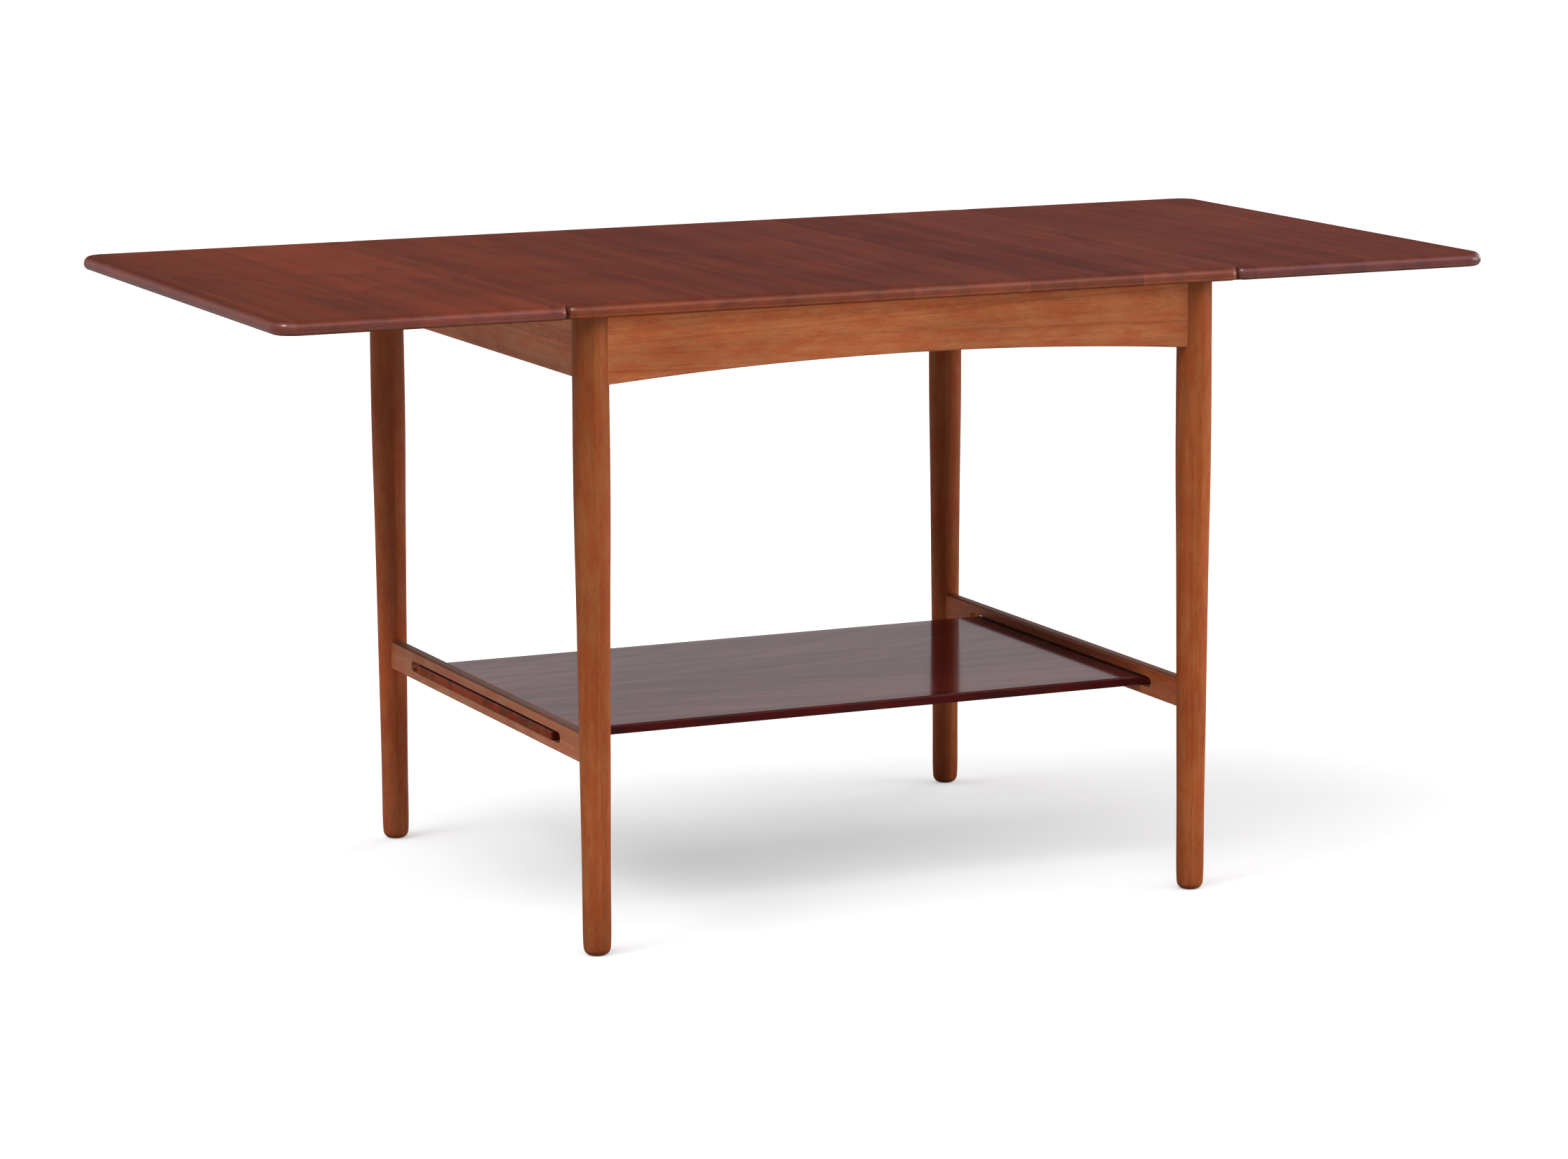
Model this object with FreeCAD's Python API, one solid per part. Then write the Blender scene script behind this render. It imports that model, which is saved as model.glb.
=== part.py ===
import FreeCAD, Part
import os
from FreeCAD import Vector

# Drop leaf coffee table in teak and oak, in millimetres.
# X runs along the table's length, Y to its back, Z up.
# The origin lies on the floor under the middle of the top.

# Overall sizes
HEIGHT = 600.0
WIDTH = 600.0
TOP_THICKNESS = 13.0
CENTRE_LENGTH = 676.0
LEAF_LENGTH = 272.0
UNDERSIDE = HEIGHT - TOP_THICKNESS
JOINT_X = CENTRE_LENGTH / 2
END_X = JOINT_X + LEAF_LENGTH
JOINT_GAP = 0.3

# Edges and corners of the three panels
TOP_ROUND = 7.0
BOTTOM_ROUND = 5.0
LEAF_CORNER = 22.0
JOINT_CORNER = 8.0

# Turned legs: (height, radius) from over the foot's rounding to the top
LEG_X = 306.5
LEG_Y = 268.5
LEG_PROFILE = [
    (8.0, 12.6), (90.0, 13.3), (180.0, 14.2), (310.0, 15.4),
    (440.0, 16.9), (520.0, 16.7), (UNDERSIDE, 16.4)]
FOOT_FLAT = 5.5
FOOT_BULGE = 0.72

# Aprons and their tenons
APRON_THICKNESS = 21.0
LONG_APRON_MIDDLE = 536.0
LONG_APRON_ENDS = 523.0
END_APRON_BOTTOM = 529.5
APRON_ARRIS = 1.5
TENON_THICKNESS = 8.0
TENON_END = 4.5
TENON_START = 24.0
TENON_OVERLAP = 4.0
APRON_TENON = (541.0, 581.0)

# Low end stretchers and the slot that the shelf lies in
STRETCHER_BOTTOM = 174.3
STRETCHER_TOP = 202.8
STRETCHER_THICKNESS = 12.0
STRETCHER_ARRIS = 2.5
STRETCHER_TENON = (180.0, 197.0)
STRETCHER_TENON_THICKNESS = 6.0
SLOT_LENGTH = 396.0
SLOT_HEIGHT = 10.5
SLOT_BOTTOM = 183.0

# Shelf
SHELF_THICKNESS = 9.0
SHELF_WIDTH = 360.0
SHELF_LENGTH = 628.0
SHELF_CORNER = 3.0
SHELF_ARRIS = 2.2

# Slides that carry the raised leaves
LOPER_Y = 120.0
LOPER_WIDTH = 24.0
LOPER_HEIGHT = 20.0
LOPER_TRAVEL = 190.0
LOPER_OUTER_END = 334.0
LOPER_INNER_END = 12.0
LOPER_TOP = UNDERSIDE - 0.6
LOPER_PLAY = 0.4
LOPER_ARRIS = 1.5
FINGER_RADIUS = 10.0
FINGER_DEPTH = 7.0
FINGER_IN = 12.0
LEAD_IN_LENGTH = 26.0
LEAD_IN_DROP = 2.0
PEG_RADIUS = 4.0
PEG_PLAY = 1.0
PEG_DROP = 8.5
PEG_CHAMFER = 0.8

# Cross rails and the middle batten
RAIL_X = 226.0
RAIL_THICKNESS = 20.0
RAIL_BOTTOM = 546.0
RAIL_TENON_DEPTH = 7.0
RAIL_TENON = (552.0, 564.0)
BATTEN_WIDTH = 21.0
BATTEN_BOTTOM = 566.0
BATTEN_HALF = 240.0
BATTEN_ARRIS = 3.0

# Butt hinges
HINGE_Y = 195.0
HINGE_LENGTH = 60.0
HINGE_PLATE_WIDTH = 19.0
HINGE_PLATE = 1.6
HINGE_CORNER = 2.0
BARREL_RADIUS = 3.2
BARREL_CLEARANCE = 0.35
KNUCKLES = 5
KNUCKLE_GAP = 0.3
PIN_RADIUS = 1.5
PIN_RUNNING = 0.06
PIN_HEAD_RADIUS = 2.3
PIN_HEAD = 0.9
PIN_END_PLAY = 0.3
HINGE_SCREW_OUT = 12.0
HINGE_SCREW_PITCH = 22.0

# Screws: shank radius, head radius, head height, length
SMALL_SCREW = (1.6, 3.4, 1.6, 10.0)
SHELF_SCREW = (1.7, 3.4, 1.7, 14.0)
FRAME_SCREW = (2.0, 4.0, 2.0, 29.0)
SCREW_SLOT = 0.8
SCREW_SLOT_DEPTH = 0.6
SCREW_SLOT_REACH = 2.2
SCREW_TAPER = 2.0
SCREW_TIP = 0.25
COUNTERBORE_RADIUS = 4.6
COUNTERBORE_START = 515.0
FRAME_SCREW_HEAD_Z = 566.0

# Places of the frame screws
RAIL_SCREW_Y = (-190.0, 0.0, 190.0)
LONG_APRON_SCREW_X = (-120.0, 120.0)
END_APRON_SCREW_Y = (-190.0, 0.0, 190.0)
BATTEN_SCREW_Y = (-200.0, -70.0, 70.0, 200.0)
BATTEN_SCREW_HEAD_Z = 567.0
SHELF_SCREW_Y = (-110.0, 110.0)

# How close counts as the same place, how far a cutting shape stands past what it cuts,
# the shortest corner edge that is rounded and the shortest edge of a rail
CLOSE = 0.01
PAST = 1.0
CORNER_EDGE = 1.0
RAIL_EDGE = 100.0

SIDES = {"left": -1, "right": 1}
DEPTHS = {"front": -1, "back": 1}
UP = Vector(0, 0, 1)
ALONG_X = Vector(1, 0, 0)
ALONG_Y = Vector(0, 1, 0)


def span_box(x, y, z):
    """A box from three (low, high) pairs, given in either order."""
    low = Vector(min(x), min(y), min(z))
    return Part.makeBox(abs(x[1] - x[0]), abs(y[1] - y[0]), abs(z[1] - z[0]), low)


def about(middle, size):
    return (middle - size / 2, middle + size / 2)


def mirrored(shape, normal):
    return shape.mirror(Vector(0, 0, 0), normal)


def level_edges(shape, z, keep=lambda edge: True):
    """Edges that lie wholly at one height."""
    flat = [e for e in shape.Edges if abs(e.BoundBox.ZMin - z) < CLOSE and abs(e.BoundBox.ZMax - z) < CLOSE]
    return [e for e in flat if keep(e)]


def long_edges(shape, direction, shortest):
    """Straight edges along a direction that are longer than a given length."""
    found = []
    for edge in shape.Edges:
        box = edge.BoundBox
        size = Vector(box.XLength, box.YLength, box.ZLength)
        if size.dot(direction) > shortest and size.Length - size.dot(direction) < CLOSE:
            found.append(edge)
    return found


def countersunk_screw(size):
    """A slotted countersunk screw, head down, its head's flat at the origin."""
    shank, head, head_height, length = size
    tip = length - SCREW_TAPER * shank
    outline = Part.makePolygon([
        Vector(0, 0, 0), Vector(head, 0, 0), Vector(shank, 0, head_height), Vector(shank, 0, tip),
        Vector(shank * SCREW_TIP, 0, length), Vector(0, 0, length), Vector(0, 0, 0)])
    body = Part.Face(outline).revolve(Vector(0, 0, 0), UP, 360)
    slot = span_box(about(0, SCREW_SLOT_REACH * head), about(0, SCREW_SLOT), (-PAST, SCREW_SLOT_DEPTH))
    return body.cut(slot)


def screw_hole(size):
    """The space that a countersunk screw fills, with no driver slot."""
    shank, head, head_height, length = size
    hole = Part.makeCylinder(shank, length)
    sink = Part.makeCone(head, shank, head_height)
    return hole.fuse(sink)


def placed(shape, spots):
    copies = []
    for spot in spots:
        copy = shape.copy()
        copy.translate(Vector(*spot))
        copies.append(copy)
    return copies


# Where every screw sits, head's flat first

def hinge_screw_spots(x, y_side, out_side):
    spots = []
    for step in (-1, 0, 1):
        y = y_side * HINGE_Y + step * HINGE_SCREW_PITCH
        spots.append((x + out_side * HINGE_SCREW_OUT, y, UNDERSIDE))
    return spots


def top_screw_spots():
    spots = [(side * RAIL_X, y, FRAME_SCREW_HEAD_Z) for side in (-1, 1) for y in RAIL_SCREW_Y]
    spots += [(x, depth * LEG_Y, FRAME_SCREW_HEAD_Z) for depth in (-1, 1) for x in LONG_APRON_SCREW_X]
    spots += [(side * LEG_X, y, FRAME_SCREW_HEAD_Z) for side in (-1, 1) for y in END_APRON_SCREW_Y]
    return spots


def batten_screw_spots():
    return [(0, y, BATTEN_SCREW_HEAD_Z) for y in BATTEN_SCREW_Y]


def shelf_screw_spots():
    return [(side * LEG_X, y, STRETCHER_BOTTOM) for side in (-1, 1) for y in SHELF_SCREW_Y]


def counterbored(shape, spots):
    """Bore up from below for each frame screw's head, and on for its shank."""
    for x, y, z in spots:
        bore = Part.makeCylinder(COUNTERBORE_RADIUS, z - COUNTERBORE_START, Vector(x, y, COUNTERBORE_START))
        shape = shape.cut(bore)
        shape = shape.cut(placed(screw_hole(FRAME_SCREW), [(x, y, z)])[0])
    return shape


# The top: one fixed panel and two leaves

def rolled_corner_cutter(x, y, side_x, side_y):
    """What rounds a panel's corner at the joint, edge rounding carried on round it."""
    block = span_box((x, x - side_x * JOINT_CORNER), (y, y - side_y * JOINT_CORNER), (UNDERSIDE, HEIGHT))
    core = Part.makeCylinder(JOINT_CORNER, TOP_THICKNESS,
                             Vector(x - side_x * JOINT_CORNER, y - side_y * JOINT_CORNER, UNDERSIDE))
    core = core.makeFillet(TOP_ROUND, level_edges(core, HEIGHT))
    core = core.makeFillet(BOTTOM_ROUND, level_edges(core, UNDERSIDE))
    return block.cut(core)


def rounded_edges(slab, joint_lines):
    """Round a slab's rim above and below, but not along its joints."""
    def on_rim(edge):
        box = edge.BoundBox
        return all(abs(box.XMin - x) > CLOSE or box.XLength > CLOSE for x in joint_lines)
    slab = slab.makeFillet(TOP_ROUND, level_edges(slab, HEIGHT, on_rim))
    return slab.makeFillet(BOTTOM_ROUND, level_edges(slab, UNDERSIDE, on_rim))


def hinge_recess(side, depth_side, out_side):
    """What one hinge plate, its barrel and its screws take out of a panel."""
    x = side * JOINT_X
    y = about(depth_side * HINGE_Y, HINGE_LENGTH)
    plate = span_box((x, x + out_side * HINGE_PLATE_WIDTH), y, (UNDERSIDE, UNDERSIDE + HINGE_PLATE))
    reach = HINGE_LENGTH + 2 * (PIN_HEAD + PIN_END_PLAY)
    barrel = Part.makeCylinder(BARREL_RADIUS + BARREL_CLEARANCE, reach,
                               Vector(x, depth_side * HINGE_Y - reach / 2, UNDERSIDE), ALONG_Y)
    cutter = plate.fuse(barrel)
    for hole in placed(screw_hole(SMALL_SCREW), hinge_screw_spots(x, depth_side, out_side)):
        cutter = cutter.fuse(hole)
    return cutter


def top_centre():
    half = JOINT_X - JOINT_GAP
    panel = span_box((-half, half), about(0, WIDTH), (UNDERSIDE, HEIGHT))
    panel = rounded_edges(panel, (-half, half))
    for side in SIDES.values():
        for depth in DEPTHS.values():
            panel = panel.cut(rolled_corner_cutter(side * half, depth * WIDTH / 2, side, depth))
            panel = panel.cut(hinge_recess(side, depth, -side))
    for size, spots in ((FRAME_SCREW, top_screw_spots()), (FRAME_SCREW, batten_screw_spots())):
        for hole in placed(screw_hole(size), spots):
            panel = panel.cut(hole)
    return panel


def leaf(side):
    inner = side * (JOINT_X + JOINT_GAP)
    panel = span_box((inner, side * END_X), about(0, WIDTH), (UNDERSIDE, HEIGHT))
    uprights = long_edges(panel, UP, CORNER_EDGE)
    outer_uprights = [e for e in uprights if abs(e.BoundBox.XMin - side * END_X) < CLOSE]
    panel = panel.makeFillet(LEAF_CORNER, outer_uprights)
    panel = rounded_edges(panel, (inner,))
    for depth in DEPTHS.values():
        panel = panel.cut(rolled_corner_cutter(inner, depth * WIDTH / 2, -side, depth))
        panel = panel.cut(hinge_recess(side, depth, side))
    return panel


# Legs: turned, thickest below the aprons, tapering to a rounded foot

def turned_leg(side, depth):
    curve = Part.BSplineCurve()
    curve.interpolate([Vector(radius, 0, z) for z, radius in LEG_PROFILE])
    foot_height, foot_radius = LEG_PROFILE[0]
    bend = Vector(FOOT_FLAT + FOOT_BULGE * (foot_radius - FOOT_FLAT), 0, (1 - FOOT_BULGE) * foot_height)
    foot = Part.Arc(Vector(FOOT_FLAT, 0, 0), bend, Vector(foot_radius, 0, foot_height))
    top_radius = LEG_PROFILE[-1][1]
    outline = Part.Wire([
        Part.LineSegment(Vector(0, 0, 0), Vector(FOOT_FLAT, 0, 0)).toShape(),
        foot.toShape(),
        curve.toShape(),
        Part.LineSegment(Vector(top_radius, 0, UNDERSIDE), Vector(0, 0, UNDERSIDE)).toShape(),
        Part.LineSegment(Vector(0, 0, UNDERSIDE), Vector(0, 0, 0)).toShape()])
    shape = Part.Face(outline).revolve(Vector(0, 0, 0), UP, 360)
    shape.translate(Vector(side * LEG_X, depth * LEG_Y, 0))
    return shape


def long_apron_tenon(side, depth):
    x = (side * (LEG_X - TENON_START), side * (LEG_X - TENON_END))
    return span_box(x, about(depth * LEG_Y, TENON_THICKNESS), APRON_TENON)


def end_tenon(side, depth, thickness, z):
    y = (depth * (LEG_Y - TENON_START), depth * (LEG_Y - TENON_END))
    return span_box(about(side * LEG_X, thickness), y, z)


def end_apron_tenon(side, depth):
    return end_tenon(side, depth, TENON_THICKNESS, APRON_TENON)


def stretcher_tenon(side, depth):
    return end_tenon(side, depth, STRETCHER_TENON_THICKNESS, STRETCHER_TENON)


def mortised_leg(side, depth):
    shape = turned_leg(side, depth)
    for mortise in (long_apron_tenon, end_apron_tenon, stretcher_tenon):
        shape = shape.cut(mortise(side, depth))
    return shape


# Aprons: coped to the round legs and tenoned into them

def rail_tenon(side, depth):
    y_in = LEG_Y - APRON_THICKNESS / 2
    y = (depth * (y_in - TENON_OVERLAP), depth * (y_in + RAIL_TENON_DEPTH))
    return span_box(about(side * RAIL_X, TENON_THICKNESS), y, RAIL_TENON)


def long_apron(depth):
    y = depth * LEG_Y - APRON_THICKNESS / 2
    left_low = Vector(-LEG_X, y, LONG_APRON_ENDS)
    right_low = Vector(LEG_X, y, LONG_APRON_ENDS)
    left_high = Vector(-LEG_X, y, UNDERSIDE)
    right_high = Vector(LEG_X, y, UNDERSIDE)
    arch = Part.Arc(left_low, Vector(0, y, LONG_APRON_MIDDLE), right_low).toShape()
    outline = Part.Wire([
        arch,
        Part.LineSegment(right_low, right_high).toShape(),
        Part.LineSegment(right_high, left_high).toShape(),
        Part.LineSegment(left_high, left_low).toShape()])
    shape = Part.Face(outline).extrude(ALONG_Y * APRON_THICKNESS)
    arches = [e for e in shape.Edges if isinstance(e.Curve, Part.Circle)]
    shape = shape.makeFillet(APRON_ARRIS, arches)
    for side in SIDES.values():
        shape = shape.cut(turned_leg(side, depth))
        shape = shape.fuse(long_apron_tenon(side, depth))
        shape = shape.cut(rail_tenon(side, depth))
    spots = [spot for spot in top_screw_spots() if spot[1] == depth * LEG_Y]
    return counterbored(shape, spots)


def loper_notch(x, thickness, depth):
    bottom = LOPER_TOP - LOPER_HEIGHT - LOPER_PLAY
    y = about(depth * LOPER_Y, LOPER_WIDTH + 2 * LOPER_PLAY)
    return span_box(about(x, thickness + 2 * PAST), y, (bottom, UNDERSIDE + PAST))


def low_rail_edges(shape, bottom):
    return [e for e in long_edges(shape, ALONG_Y, RAIL_EDGE) if abs(e.BoundBox.ZMin - bottom) < CLOSE]


def end_apron(side):
    x = side * LEG_X
    shape = span_box(about(x, APRON_THICKNESS), (-LEG_Y, LEG_Y), (END_APRON_BOTTOM, UNDERSIDE))
    shape = shape.makeFillet(APRON_ARRIS, low_rail_edges(shape, END_APRON_BOTTOM))
    for depth in DEPTHS.values():
        shape = shape.cut(turned_leg(side, depth))
        shape = shape.fuse(end_apron_tenon(side, depth))
        shape = shape.cut(loper_notch(x, APRON_THICKNESS, depth))
    spots = [spot for spot in top_screw_spots() if spot[0] == side * LEG_X]
    return counterbored(shape, spots)


def cross_rail(side):
    half = LEG_Y - APRON_THICKNESS / 2
    x = side * RAIL_X
    shape = span_box(about(x, RAIL_THICKNESS), (-half, half), (RAIL_BOTTOM, UNDERSIDE))
    for depth in DEPTHS.values():
        shape = shape.fuse(rail_tenon(side, depth))
        shape = shape.cut(loper_notch(x, RAIL_THICKNESS, depth))
    spots = [spot for spot in top_screw_spots() if spot[0] == side * RAIL_X]
    return counterbored(shape, spots)


def middle_batten():
    shape = span_box(about(0, BATTEN_WIDTH), (-BATTEN_HALF, BATTEN_HALF), (BATTEN_BOTTOM, UNDERSIDE))
    shape = shape.makeFillet(BATTEN_ARRIS, low_rail_edges(shape, BATTEN_BOTTOM))
    for x, y, z in batten_screw_spots():
        bore = Part.makeCylinder(COUNTERBORE_RADIUS, z - BATTEN_BOTTOM, Vector(x, y, BATTEN_BOTTOM))
        shape = shape.cut(bore)
        shape = shape.cut(placed(screw_hole(FRAME_SCREW), [(x, y, z)])[0])
    return shape


# Stretchers with their round-ended slots, and the shelf that lies in them

def shelf_slot(side):
    reach = STRETCHER_THICKNESS + 2 * PAST
    x = about(side * LEG_X, reach)
    radius = SLOT_HEIGHT / 2
    straight = SLOT_LENGTH / 2 - radius
    slot = span_box(x, (-straight, straight), (SLOT_BOTTOM, SLOT_BOTTOM + SLOT_HEIGHT))
    for y in (-straight, straight):
        start = Vector(min(x), y, SLOT_BOTTOM + radius)
        slot = slot.fuse(Part.makeCylinder(radius, reach, start, ALONG_X))
    return slot.removeSplitter()


def stretcher(side):
    x = side * LEG_X
    shape = span_box(about(x, STRETCHER_THICKNESS), (-LEG_Y, LEG_Y), (STRETCHER_BOTTOM, STRETCHER_TOP))
    shape = shape.makeFillet(STRETCHER_ARRIS, long_edges(shape, ALONG_Y, RAIL_EDGE))
    shape = shape.cut(shelf_slot(side))
    for depth in DEPTHS.values():
        shape = shape.cut(turned_leg(side, depth))
        shape = shape.fuse(stretcher_tenon(side, depth))
    for spot in shelf_screw_spots():
        shape = shape.cut(placed(screw_hole(SHELF_SCREW), [spot])[0])
    return shape


def shelf():
    z = (SLOT_BOTTOM, SLOT_BOTTOM + SHELF_THICKNESS)
    board = span_box(about(0, SHELF_LENGTH), about(0, SHELF_WIDTH), z)
    board = board.makeFillet(SHELF_CORNER, long_edges(board, UP, CORNER_EDGE))
    board = board.makeFillet(SHELF_ARRIS, level_edges(board, z[1]) + level_edges(board, z[0]))
    for hole in placed(screw_hole(SHELF_SCREW), shelf_screw_spots()):
        board = board.cut(hole)
    return board


# Slides: a bar with a finger hollow and a lead-in, and its stop peg

def loper_peg_x():
    """Where the peg is with its slide in: full travel short of the cross rail."""
    return RAIL_X - RAIL_THICKNESS / 2 - PEG_PLAY - PEG_RADIUS - LOPER_TRAVEL


def loper(side, depth):
    bottom = LOPER_TOP - LOPER_HEIGHT
    y = about(depth * LOPER_Y, LOPER_WIDTH)
    bar = span_box((LOPER_INNER_END, LOPER_OUTER_END), y, (bottom, LOPER_TOP))
    tip_edges = [e for e in bar.Edges if e.BoundBox.XMin > LOPER_OUTER_END - CLOSE]
    bar = bar.makeFillet(LOPER_ARRIS, tip_edges)
    near = min(y) - PAST
    across = LOPER_WIDTH + 2 * PAST
    hollow_start = Vector(LOPER_OUTER_END - FINGER_IN, near, bottom - FINGER_RADIUS + FINGER_DEPTH)
    bar = bar.cut(Part.makeCylinder(FINGER_RADIUS, across, hollow_start, ALONG_Y))
    ramp_start = LOPER_OUTER_END - LEAD_IN_LENGTH
    ramp_end = LOPER_OUTER_END + PAST
    ramp = Part.makePolygon([
        Vector(ramp_start, near, LOPER_TOP), Vector(ramp_end, near, LOPER_TOP - LEAD_IN_DROP),
        Vector(ramp_end, near, LOPER_TOP + PAST), Vector(ramp_start, near, LOPER_TOP + PAST),
        Vector(ramp_start, near, LOPER_TOP)])
    bar = bar.cut(Part.Face(ramp).extrude(ALONG_Y * across))
    peg_hole = Part.makeCylinder(PEG_RADIUS, LOPER_HEIGHT, Vector(loper_peg_x(), depth * LOPER_Y, bottom))
    bar = bar.cut(peg_hole)
    return bar if side > 0 else mirrored(bar, ALONG_X)


def loper_stop(side, depth):
    bottom = LOPER_TOP - LOPER_HEIGHT - PEG_DROP
    foot = Vector(side * loper_peg_x(), depth * LOPER_Y, bottom)
    peg = Part.makeCylinder(PEG_RADIUS, LOPER_TOP - bottom, foot)
    return peg.makeChamfer(PEG_CHAMFER, level_edges(peg, bottom))


# Butt hinges: the axis lies in the undersides, on the joint line

def knuckle_spans(first):
    """(start, end) along the barrel of every second knuckle."""
    pitch = HINGE_LENGTH / KNUCKLES
    spans = []
    for index in range(first, KNUCKLES, 2):
        low = index * pitch + (KNUCKLE_GAP / 2 if index > 0 else 0)
        high = (index + 1) * pitch - (KNUCKLE_GAP / 2 if index < KNUCKLES - 1 else 0)
        spans.append((low, high))
    return spans


def hinge_plate(side, depth, out_side, own_first, other_first, bore):
    x = side * JOINT_X
    start = depth * HINGE_Y - HINGE_LENGTH / 2
    y = (start, start + HINGE_LENGTH)
    plate = span_box((x, x + out_side * HINGE_PLATE_WIDTH), y, (UNDERSIDE, UNDERSIDE + HINGE_PLATE))
    far = x + out_side * HINGE_PLATE_WIDTH
    for hole in placed(screw_hole(SMALL_SCREW), hinge_screw_spots(x, depth, out_side)):
        plate = plate.cut(hole)
    corners = [e for e in long_edges(plate, UP, CORNER_EDGE) if abs(e.BoundBox.XMin - far) < CLOSE]
    plate = plate.makeFillet(HINGE_CORNER, corners)
    for low, high in knuckle_spans(other_first):
        room = Part.makeCylinder(BARREL_RADIUS + BARREL_CLEARANCE, high - low + 2 * KNUCKLE_GAP,
                                 Vector(x, start + low - KNUCKLE_GAP, UNDERSIDE), ALONG_Y)
        plate = plate.cut(room)
    for low, high in knuckle_spans(own_first):
        barrel = Part.makeCylinder(BARREL_RADIUS, high - low, Vector(x, start + low, UNDERSIDE), ALONG_Y)
        plate = plate.fuse(barrel)
    hole = Part.makeCylinder(bore, HINGE_LENGTH, Vector(x, start, UNDERSIDE), ALONG_Y)
    return plate.cut(hole).removeSplitter()


def hinge_fixed(side, depth):
    return hinge_plate(side, depth, -side, 0, 1, PIN_RADIUS)


def hinge_leaf(side, depth):
    return hinge_plate(side, depth, side, 1, 0, PIN_RADIUS + PIN_RUNNING)


def hinge_pin(side, depth):
    x = side * JOINT_X
    start = depth * HINGE_Y - HINGE_LENGTH / 2
    pin = Part.makeCylinder(PIN_RADIUS, HINGE_LENGTH, Vector(x, start, UNDERSIDE), ALONG_Y)
    for head_start in (start - PIN_HEAD, start + HINGE_LENGTH):
        head = Part.makeCylinder(PIN_HEAD_RADIUS, PIN_HEAD, Vector(x, head_start, UNDERSIDE), ALONG_Y)
        pin = pin.fuse(head)
    return pin.removeSplitter()


def hinge_screws(pairs):
    spots = []
    for side, out_side in pairs:
        for depth in DEPTHS.values():
            spots += hinge_screw_spots(side * JOINT_X, depth, out_side)
    return Part.makeCompound(placed(countersunk_screw(SMALL_SCREW), spots))


def all_nodes():
    nodes = {"top_centre": top_centre()}
    for side_name, side in SIDES.items():
        nodes[f"leaf_{side_name}"] = leaf(side)
        nodes[f"apron_{side_name}"] = end_apron(side)
        nodes[f"rail_{side_name}"] = cross_rail(side)
        nodes[f"stretcher_{side_name}"] = stretcher(side)
        nodes[f"hinge_screws_leaf_{side_name}"] = hinge_screws([(side, side)])
        for depth_name, depth in DEPTHS.items():
            corner = f"{side_name}_{depth_name}"
            nodes[f"leg_{corner}"] = mortised_leg(side, depth)
            nodes[f"loper_{corner}"] = loper(side, depth)
            nodes[f"loper_stop_{corner}"] = loper_stop(side, depth)
            nodes[f"hinge_fixed_{corner}"] = hinge_fixed(side, depth)
            nodes[f"hinge_leaf_{corner}"] = hinge_leaf(side, depth)
            nodes[f"hinge_pin_{corner}"] = hinge_pin(side, depth)
    for depth_name, depth in DEPTHS.items():
        nodes[f"apron_{depth_name}"] = long_apron(depth)
    nodes["shelf"] = shelf()
    nodes["batten_middle"] = middle_batten()
    nodes["hinge_screws_centre"] = hinge_screws([(-1, 1), (1, -1)])
    nodes["top_screws"] = Part.makeCompound(placed(countersunk_screw(FRAME_SCREW), top_screw_spots()))
    nodes["batten_screws"] = Part.makeCompound(placed(countersunk_screw(FRAME_SCREW), batten_screw_spots()))
    nodes["shelf_screws"] = Part.makeCompound(placed(countersunk_screw(SHELF_SCREW), shelf_screw_spots()))
    return nodes


def main():
    os.makedirs("parts", exist_ok=True)
    for name, shape in all_nodes().items():
        print(name, "solids", len(shape.Solids), "volume", round(shape.Volume), "valid", shape.isValid())
        shape.exportStep(f"parts/{name}.step")


main()
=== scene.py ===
import math
from collections import namedtuple

import bpy
from mathutils import Matrix, Vector


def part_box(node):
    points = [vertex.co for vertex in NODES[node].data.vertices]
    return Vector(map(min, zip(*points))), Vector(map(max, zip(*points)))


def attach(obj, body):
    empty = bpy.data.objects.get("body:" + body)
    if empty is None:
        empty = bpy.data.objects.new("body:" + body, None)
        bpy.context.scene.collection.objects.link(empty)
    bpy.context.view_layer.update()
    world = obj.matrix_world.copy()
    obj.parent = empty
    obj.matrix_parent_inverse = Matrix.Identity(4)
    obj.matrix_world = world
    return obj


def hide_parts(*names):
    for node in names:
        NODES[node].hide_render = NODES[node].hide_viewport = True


# Drop leaf coffee table: teak top and shelf on an oak frame, in metres.
# X runs along the table's length, Y to its back, Z up from the floor.

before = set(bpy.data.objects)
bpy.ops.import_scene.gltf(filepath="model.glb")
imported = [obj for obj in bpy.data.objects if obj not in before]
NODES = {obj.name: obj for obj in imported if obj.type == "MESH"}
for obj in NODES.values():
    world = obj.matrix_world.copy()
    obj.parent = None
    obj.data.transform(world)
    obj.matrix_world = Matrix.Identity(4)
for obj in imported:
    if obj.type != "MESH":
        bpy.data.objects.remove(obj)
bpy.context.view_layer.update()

SIDES = ("left", "right")
DEPTHS = ("front", "back")
CORNERS = [f"{side}_{depth}" for side in SIDES for depth in DEPTHS]

# Camera, as the straight edges of the photographed table give it
LENS = 119.2
SENSOR = 36.0
CAMERA_AT = Vector((-2.0294, -4.5431, 1.1521))
CAMERA_AIM = Vector((0.002, 0.0, 0.2813))
CAMERA_ROLL = math.radians(-0.31)

# Studio
FLOOR_RADIUS = 40.0
FLOOR_SIDES = 96
FLOOR_ROUGHNESS = 0.9
VIEW_REACH = 100.0
FLOOR_SEEN = (0.49, 0.49, 0.49, 1.0)
FLOOR_GLOW = (0.38, 0.38, 0.38, 1.0)
FLOOR_BOUNCE = (0.35, 0.35, 0.35, 1.0)
SKY_SEEN = (1.0, 1.0, 1.0, 1.0)
SKY_MIRRORED = (0.82, 0.735, 0.755, 1.0)
SKY_LIGHT = (0.03, 0.03, 0.03, 1.0)
BLACK = (0.0, 0.0, 0.0, 1.0)

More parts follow.
